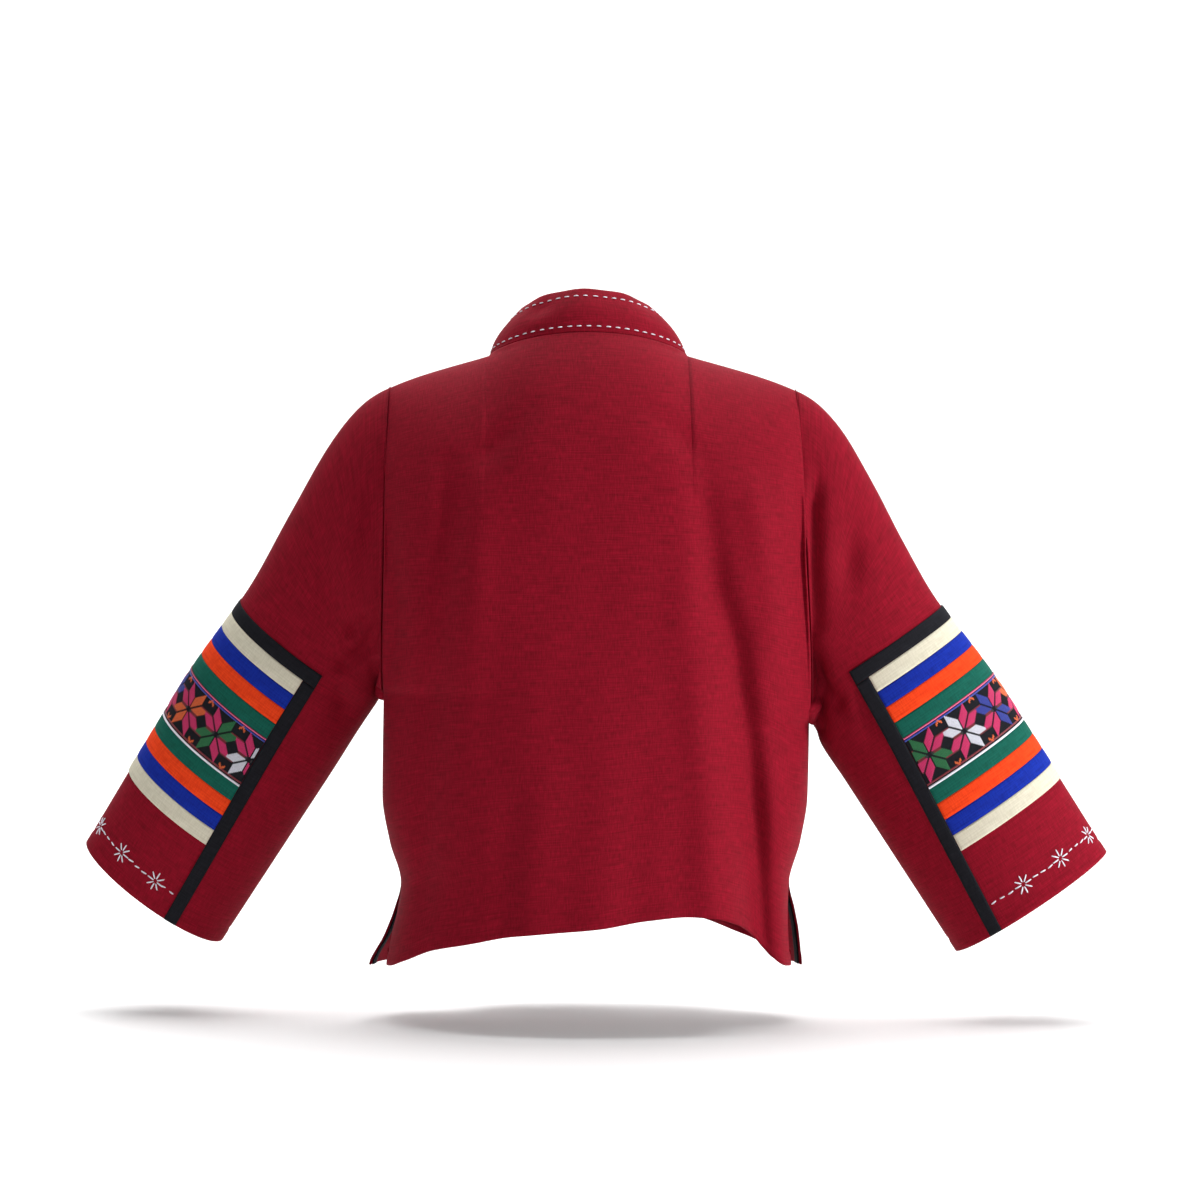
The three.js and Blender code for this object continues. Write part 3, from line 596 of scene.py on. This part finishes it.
def build_body():
    halves = zip(places("back", -1), places("back", 1))
    tops, s, at_neck = (np.concatenate([right[:0:-1], left]) for right, left in halves)
    grid = body_grid("back", tops, s, at_neck, BACK_ROWS, BACK_CREASES)
    grid[:, 0, 0] += GAP / 2
    grid[:, -1, 0] -= GAP / 2
    turned_edge(grid, -1)
    back = shell("back_panel", grid, LINEN, -1, RED)
    place(back, "back")
    for sign in (1, -1):
        side = side_word(sign)
        tops, s, at_neck = places("front", sign)
        grid = body_grid("front", tops, s, at_neck, FRONT_ROWS, FRONT_CREASES)
        grid[:, 0, 0] = front_edge(grid[:, 0, 2]) + sign * GAP / 2
        grid[:, -1, 0] -= sign * GAP / 2
        n = normals(grid) * sign
        inner = grid - n * LINEN
        turned_edge(grid, sign)
        front = shell(f"front_panel_{side}", grid, LINEN, sign, RED, inner=inner)
        place(front, f"front_{side}")
        start = int(np.argmin(np.abs(grid[:, -1, 2] - SLIT_Z)))
        strip = inner[start:, ::-1]
        far = np.abs(strip[..., 0] - strip[:, :1, 0]) + np.abs(strip[..., 1] - strip[:, :1, 1])
        keep = [int(k) for k in np.searchsorted(far.mean(0), FACING_STEPS)]
        face = strip[:, keep]
        inward = -n[start:, ::-1][:, keep]
        outer, near = face + inward * (LIFT + TRIM), face + inward * LIFT
        facing = shell(f"slit_facing_{side}", outer, TRIM, 1, CLOTH["black"], inner=near)
        place(facing, f"slit_facing_{side}")


HEM_WIDTH, HEM_LUMP, HEM_DIP, HEM_DIP_WIDTH = 11.0, 0.45, 0.7, 1.6


def turned_edge(grid, away):
    """The hem is two layers: it stands out a little, with a dip at its stitching line."""
    n = normals(grid) * away
    down = np.concatenate([np.cumsum(np.linalg.norm(np.diff(grid, axis=0), axis=2)[::-1], 0)[::-1],
                           np.zeros((1, grid.shape[1]))])
    dip = HEM_DIP * np.exp(-(((down - HEM_WIDTH) / HEM_DIP_WIDTH) ** 2))
    raised = HEM_LUMP * smooth((HEM_WIDTH - down) / 2) - dip
    grid += n * raised[..., None]


COLLAR_STITCHING = (0.10, 0.80)  # heights of the two lines of running stitch, as shares of the collar
COLLAR_PITCH = 9.1
COLLAR_THREAD, CUFF_THREAD = 0.62, 0.72  # radius of the stitching thread


def build_collar():
    a = np.linspace(-180, 180, COLLAR_COLUMNS)
    sign, angle = np.where(a >= 0, 1, -1), np.abs(a)
    low = neck_seam(angle, sign)
    c, sn = np.cos(np.radians(angle)), np.sin(np.radians(angle))
    x = COLLAR["x"] + sign * COLLAR["half"] * sn
    shift = COLLAR["shift"] * sn**2
    y = np.where(c >= 0, COLLAR["back"] * c, (COLLAR["shift"] + COLLAR["front"]) * c) - shift
    z = COLLAR["side"] + np.where(c >= 0, COLLAR["rise"], COLLAR["fall"]) * c
    high = np.stack([x, y, z], -1)
    out = np.stack([low[:, 0] - NECK["x"], low[:, 1], 0 * x + 30], -1)
    out /= np.linalg.norm(out, axis=1)[:, None]

    heights = np.linspace(1, 0, COLLAR_ROWS)
    grid = np.stack([lerp(low, high, t) + out * (4 * t * (1 - t) * COLLAR["bulge"]) for t in heights])
    n = normals(grid) * -1
    tt = heights[:, None]
    wave = 0.7 * np.sin(a / 13.0)[None, :] * np.sin(math.pi * tt)
    wave = wave + 0.5 * np.sin(a / 5.3 + 1)[None, :] * tt**2
    dent = -3.2 * np.exp(-(((a - 32) / 11) ** 2))[None, :] * np.exp(-(((tt - 0.62) / 0.22) ** 2))
    puff = 0.7 * np.sin(math.pi * np.clip((tt - 0.12) / 0.66, 0, 1))
    grid = grid + n * (wave + dent + puff - 0.4)[..., None]
    grid[-1, :, 2] += 0.8
    grid[:, 0, 0] -= GAP / 2
    grid[:, -1, 0] += GAP / 2
    collar = shell("stand_collar", grid, COLLAR_WALL, -1, RED)
    place(collar, "collar")
    marks = []
    for height in COLLAR_STITCHING:
        row = int(round((1 - height) * (COLLAR_ROWS - 1)))
        line = grid[row]
        nn = (normals(grid) * -1)[row]
        length = np.concatenate([[0], np.cumsum(np.linalg.norm(np.diff(line, axis=0), axis=1))])
        for s in np.arange(4, length[-1] - 4, COLLAR_PITCH):
            jitter = random.uniform(-0.4, 0.4)
            p = np.array([np.interp(s + jitter, length, line[:, q]) for q in range(3)])
            ahead = np.array([np.interp(s + jitter + 2, length, line[:, q]) for q in range(3)]) - p
            normal = np.array([np.interp(s, length, nn[:, q]) for q in range(3)])
            marks.append((p + normal * 0.35, normal, ahead, random.uniform(4.2, 5.0)))
    stitches = dashes("collar_running_stitch", marks, COLLAR_THREAD, THREAD["white"])
    place(stitches)


# along the stitch, as a share of its length, then how wide and how high it is there, in radii
DASH_PROFILE = [(-0.5, 0.25, -0.5), (-0.4, 0.8, 0.0), (0.0, 1.0, 0.25), (0.4, 0.8, 0.0), (0.5, 0.25, -0.5)]


def dashes(name, marks, radius, material):
    """Short hand stitches as one mesh: each is a rounded thread, sunk at its ends."""
    verts, faces = [], []
    sides = 6
    for p, n, d, length in marks:
        n = n / np.linalg.norm(n)
        d = d - n * (d @ n)
        d = d / np.linalg.norm(d)
        side = np.cross(n, d)
        base = len(verts)
        for along, wide, lift in DASH_PROFILE:
            for k in range(sides):
                a = 2 * math.pi * k / sides
                rise = math.sin(a) * wide * radius * 0.8 + lift * radius
                ring = side * math.cos(a) * wide * radius + n * rise
                verts.append(p + d * along * length + ring)
        for r in range(len(DASH_PROFILE) - 1):
            here, there = base + r * sides, base + (r + 1) * sides
            for k in range(sides):
                q = (k + 1) % sides
                faces.append((here + k, here + q, there + q, there + k))
        for r, step in ((0, -1), (len(DASH_PROFILE) - 1, 1)):
            ring = [base + r * sides + k for k in range(sides)][::step]
            faces.append((ring[0], ring[1], ring[2], ring[3]))
            faces.append((ring[0], ring[3], ring[4], ring[5]))
    return mesh_object(name, np.array(verts) * MM, faces, [material])


# ------------------------------------------------------------------ cross stitch

CELL_ROWS = 40  # stitches across the band
CELL = BAND / CELL_ROWS
PETAL, REPEAT = 9, 30  # a petal's width and the flowers' pitch, in stitches
LEAF = ["o...o", "oo.oo", ".ooo.", "..o.."]
ACCENTS = {
    "left": ["white", "green", "orange", "blue"],
    "right": ["green", "white", "blue", "orange"],
}
FIRST_FLOWER = {"left": 3.0, "right": 14.0}  # from the black strip behind
LEGS = ((0.04, 0.04, 0.96, 0.96, 0.0), (0.96, 0.04, 0.04, 0.96, 0.10))  # ends in the cell, and extra height
LEG_HALF, LEG_WOBBLE = 0.20, 0.025  # in cells
LEG_LOW, LEG_HIGH, LEG_RIDGE = 0.02, 0.50, 0.16  # heights at its ends and middle, and of its middle line
STITCH_SINK, BAND_INSET = 0.1, 1.5


def chart_colour(i, j, accent, first):
    """Thread of one cell, or None on bare ground: i counts round from the black strip, j up the band."""
    if j in (0, CELL_ROWS - 1):
        return "maroon"
    flower = math.floor((i - first + REPEAT / 2) / REPEAT)
    x, y = i - first - flower * REPEAT + 0.5, j - CELL_ROWS / 2 + 0.5
    a, b = max(abs(x), abs(y)) - 0.5, min(abs(x), abs(y)) - 0.5
    if a <= 2 * PETAL - 1 and b <= PETAL - 1 and a - b <= PETAL and a - b >= 1 and b >= 0:
        if b == 0 or a - b == 1:
            return "black" if a < 3 else "maroon"
        if b >= PETAL - 1 or a - b >= PETAL:
            return "maroon"
        return "magenta" if x * y > 0 else accent(flower)
    gap = i - first - (flower + 0.5 if x > 0 else flower - 0.5) * REPEAT
    for edge in (j - 2, CELL_ROWS - 3 - j):
        col = int(round(gap)) + 2
        if 0 <= edge < len(LEAF) and 0 <= col < 5 and LEAF[len(LEAF) - 1 - edge][col] == "o":
            return "orange"
    return None


def build_embroidery(side, v):
    """The band's black ground, and its cross stitches as one mesh: two ridged legs in each cell."""
    low, high = EDGES[4], EDGES[5]
    black, all_round = CLOTH["black"], (-INNER, INNER)
    ground = strip_object(f"band_ground_{side}", v, (low, high), all_round, black, rows=26, cols=120, puff=0.1)
    node = f"embroidered_band_{side}"
    place(ground, node)
    turn, length = arc_turns(v, (low + high) / 2)
    count = int((length[-1] - 2 * BAND_INSET) / CELL)
    accents = ACCENTS[side]
    verts, faces, index = [], [], []
    cells = []
    for i in range(count):
        for j in range(CELL_ROWS):
            colour = chart_colour(i, j, lambda f: accents[f % 4], FIRST_FLOWER[side] / CELL)
            if colour:
                cells.append((i, j, THREAD_NAMES.index(colour)))
    cells = np.array(cells)
    arc = BAND_INSET + cells[:, 0] * CELL
    up = low + cells[:, 1] * CELL
    top = LIFT + TRIM - STITCH_SINK
    for x0, y0, x1, y1, lift in LEGS:
        dx, dy = x1 - x0, y1 - y0
        size = math.hypot(dx, dy)
        px, py = -dy / size * LEG_HALF, dx / size * LEG_HALF
        wobble = random.normal(0, LEG_WOBBLE, (len(cells), 2))
        ring = []
        for f, h in ((0.0, LEG_LOW), (0.5, LEG_HIGH + lift), (1.0, LEG_LOW)):
            for e in (-1, 0, 1):
                cx = x0 + dx * f + e * px + wobble[:, 0]
                cy = y0 + dy * f + e * py + wobble[:, 1]
                hh = h + (LEG_RIDGE if e == 0 else 0.0)
                t = np.interp(arc + cx * CELL, length, turn)
                p, n, _, _ = tube_frame(v, up + cy * CELL, t)
                ring.append(p + n * (top + hh))
        start = sum(len(block) for block in verts) + np.arange(len(cells)) * len(ring)
        verts.append(np.stack(ring, 1).reshape(-1, 3))
        for q in ((0, 1, 4, 3), (1, 2, 5, 4), (3, 4, 7, 6), (4, 5, 8, 7)):
            faces.append(np.stack([start + k for k in q], 1))
            index.append(cells[:, 2])
    verts, faces, index = np.concatenate(verts) * MM, np.concatenate(faces), np.concatenate(index)
    obj = mesh_object(f"cross_stitches_{side}", verts, faces, list(THREAD.values()), index)
    place(obj)


# Lines along the band's edges: the level, the half-width, the height and the thread.
BAND_LINES = [
    (EDGES[4] + 0.2, 1.1, 1.0, "white"), (EDGES[4] + 3.4, 0.8, 0.4, "maroon"),
    (EDGES[5] - 1.0, 0.8, 0.5, "pink"), (EDGES[5] - 3.4, 0.8, 0.4, "blue"),
]
LINE_SAMPLES, LINE_INSET = 150, 0.3  # the inset is in degrees
LINE_SINK, LINE_ROOT = 0.15, 0.4


def build_lines(side, v):
    """The raised white piping and the thin pink, blue and maroon lines along the band's edges."""
    for up, half, tall, colour in BAND_LINES:
        turns = np.linspace(-INNER + LINE_INSET, INNER - LINE_INSET, LINE_SAMPLES)
        ring = []
        for a in np.linspace(0, math.pi, 6):
            p, n, _, _ = tube_frame(v, up + half * math.cos(a), turns)
            ring.append(p + n * (LIFT + TRIM - LINE_SINK + tall * math.sin(a)))
        p, n, _, _ = tube_frame(v, up + 0 * turns, turns)
        ring.append(p + n * (LIFT + TRIM - LINE_ROOT))
        grid = np.stack(ring, 1)
        m, c = grid.shape[:2]
        j, i = np.meshgrid(np.arange(m - 1), np.arange(c), indexing="ij")
        j, i = j.ravel(), i.ravel()
        q = (i + 1) % c
        faces = np.stack([j * c + i, (j + 1) * c + i, (j + 1) * c + q, j * c + q], 1)
        name = f"band_line_{colour}_{side}"
        obj = mesh_object(name, grid.reshape(-1, 3) * MM, faces, [THREAD[colour]])
        place(obj)


STITCH_UP, STAR_PITCH = 26, 44  # above the rim, and round the cuff
CUFF_LIFT = 0.2  # the thread's middle above the cloth
STAR_ARMS, ARM_MIDDLE = 8, 5.6  # the middle of each arm is this far from the star's middle
FIRST_MARK = {"left": 4.0, "right": 3.0}  # from the black strip behind
FIRST_STAR = {"left": 25.0, "right": 38.0}


def build_cuff_stitches(side, v):
    """A line of running stitch round the cuff, with eight-armed stars in it."""
    turn, length = arc_turns(v, STITCH_UP)
    marks = []

    def mark(arc, up, dx, dy, size):
        t = np.interp(arc, length, turn)
        p, n, r, rise = tube_frame(v, np.array(up), np.array(t))
        marks.append((p + n * CUFF_LIFT, n, -r * dx + rise * dy, size))

    star = FIRST_STAR[side]
    arc = FIRST_MARK[side]
    while arc < star - 11:
        up, tilt, size = (random.uniform(*span) for span in ((-0.5, 0.5), (-0.15, 0.15), (4.6, 6.2)))
        mark(arc + 2, STITCH_UP + up, 1, tilt, size)
        arc += 9.4
    while star < length[-1] - 8:
        for k in range(STAR_ARMS):
            a = 2 * math.pi * k / STAR_ARMS + random.uniform(-0.08, 0.08)
            dx, dy = math.cos(a), math.sin(a)
            mark(star + ARM_MIDDLE * dx, STITCH_UP + ARM_MIDDLE * dy, dx, dy, random.uniform(6.8, 7.8))
        for k in range(3):
            here = star + 14 + k * 8.6
            if here < length[-1] - 4:
                up, tilt, size = (random.uniform(*span) for span in ((-0.6, 0.6), (-0.2, 0.2), (4.8, 6.4)))
                mark(here, STITCH_UP + up, 1, tilt, size)
        star += STAR_PITCH
    place(dashes(f"cuff_stitches_{side}", marks, CUFF_THREAD, THREAD["white"]))


FREE_FROM, FREE_TO, FREE_FADE = 6, 96, 26  # rows of the sleeve over which its creases fade in and out
CUFF_HEM, CUFF_LUMP, CUFF_DIP, CUFF_DIP_WIDTH = 13, 0.35, 0.5, 2.2
SLEEVE_WAVE = 0.8  # how uneven its linen is beside the body's


def build_sleeve(side):
    v = SLEEVES[side]
    grid, turn = sleeve_grid(v)
    n = normals(grid, True) * v["sign"]
    rows = np.arange(grid.shape[0])
    free = smooth(rows / FREE_FROM)[:, None] * smooth((FREE_TO - rows) / FREE_FADE)[:, None]
    facing_back = smooth((np.sin(np.radians(turn)) + 0.15) / 0.5)[None, :]
    front = 1 - facing_back
    depth = creases(SLEEVE_CREASES[side], grid[..., 0], grid[..., 2]) * (facing_back + 0.8 * front)
    wave = SLEEVE_WAVE * ripple(grid[..., 0] + 40, grid[..., 2])
    inner = grid - n * LINEN
    shift = -(depth + wave) * free
    grid, inner = grid + n * shift[..., None], inner + n * shift[..., None]
    cuff_up = (rows[-1] - rows) * (SLEEVE_TUBE / (TUBE_ROWS - 1))
    dip = CUFF_DIP * np.exp(-(((cuff_up - CUFF_HEM) / CUFF_DIP_WIDTH) ** 2))
    hem = CUFF_LUMP * smooth((CUFF_HEM - cuff_up) / 2) - dip
    grid = grid + n * np.minimum(hem, LIFT - 0.1)[:, None, None]
    sleeve = shell(f"sleeve_{side}_linen", grid, LINEN, v["sign"], RED, round_=True, inner=inner)
    place(sleeve, f"sleeve_{side}")
    for k, colour in enumerate(COLOURS):
        for row, group in ((k, "lower"), (8 - k, "upper")):
            levels = (EDGES[row], EDGES[row + 1])
            strip = strip_object(f"cotton_{colour}_{group}_{side}", v, levels, (-INNER, INNER), CLOTH[colour])
            node = f"stripe_{colour}_{group}_{side}"
            place(strip, node)
    top = PANEL_TOP - BINDING
    strip = strip_object(f"black_top_{side}", v, (top, PANEL_TOP), (-OUTER, OUTER), CLOTH["black"])
    place(strip, f"binding_top_{side}")
    for word, turns in (("back", (INNER, OUTER)), ("front", (-OUTER, -INNER))):
        strip = strip_object(f"black_{word}_{side}", v, (0, top), turns, CLOTH["black"], rows=90, cols=8)
        place(strip, f"binding_{word}_{side}")
    build_embroidery(side, v)
    build_lines(side, v)
    build_cuff_stitches(side, v)


# ------------------------------------------------------------------ studio


def build_studio():
    pale = bpy.data.materials.new("studio_white")
    pale.use_nodes = True
    shader = pale.node_tree.nodes["Principled BSDF"]
    shader.inputs["Base Color"].default_value = (0.93, 0.93, 0.93, 1)
    shader.inputs["Roughness"].default_value = 0.9
    shader.inputs["Specular IOR Level"].default_value = 0.0
    floor_z, near, far, bend, tall = -0.64, 4.5, -1.6, 0.8, 4.0
    profile = [(near, floor_z), (far, floor_z)]
    for a in np.linspace(0, math.pi / 2, 16)[1:]:
        profile.append((far - bend * math.sin(a), floor_z + bend * (1 - math.cos(a))))
    profile.append((far - bend, tall))
    verts = [(x, y, z) for y, z in profile for x in (-5.0, 5.0)]
    faces = [(2 * k, 2 * k + 1, 2 * k + 3, 2 * k + 2) for k in range(len(profile) - 1)]
    floor = mesh_object("studio_floor", verts, faces, [pale])
    world = bpy.data.worlds.new("soft")
    bpy.context.scene.world = world
    world.use_nodes = True
    world.node_tree.nodes["Background"].inputs["Color"].default_value = (1, 1, 1, 1)
    world.node_tree.nodes["Background"].inputs["Strength"].default_value = 0.20
    bpy.context.scene.view_settings.view_transform = "Standard"
    for name, at, size, power, aim in (
        ("key", (-2.6, 1.1, -0.05), 0.7, 74, (0, 0, -0.35)),
        ("fill", (1.5, 2.8, -0.45), 1.4, 15, (0, 0, -0.45)),
        ("wall", (0.0, -0.9, 3.2), 3.2, 200, (0, -2.2, -0.2)),
    ):
        data = bpy.data.lights.new(name, "AREA")
        data.energy, data.size = power, size
        lamp = bpy.data.objects.new(name, data)
        lamp.location = at
        lamp.rotation_euler = (Vector(aim) - Vector(at)).to_track_quat("-Z", "Y").to_euler()
        bpy.context.scene.collection.objects.link(lamp)
    data = bpy.data.cameras.new("photo_view")
    data.lens, data.sensor_width = 93.75, 36
    camera = bpy.data.objects.new("photo_view", data)
    camera.location = (-0.0048, 3.0, -0.2371)
    camera.rotation_euler = (math.radians(90), 0, math.radians(180))
    bpy.context.scene.collection.objects.link(camera)
    bpy.context.scene.camera = camera


build_body()
build_collar()
build_sleeve("left")
build_sleeve("right")
build_studio()
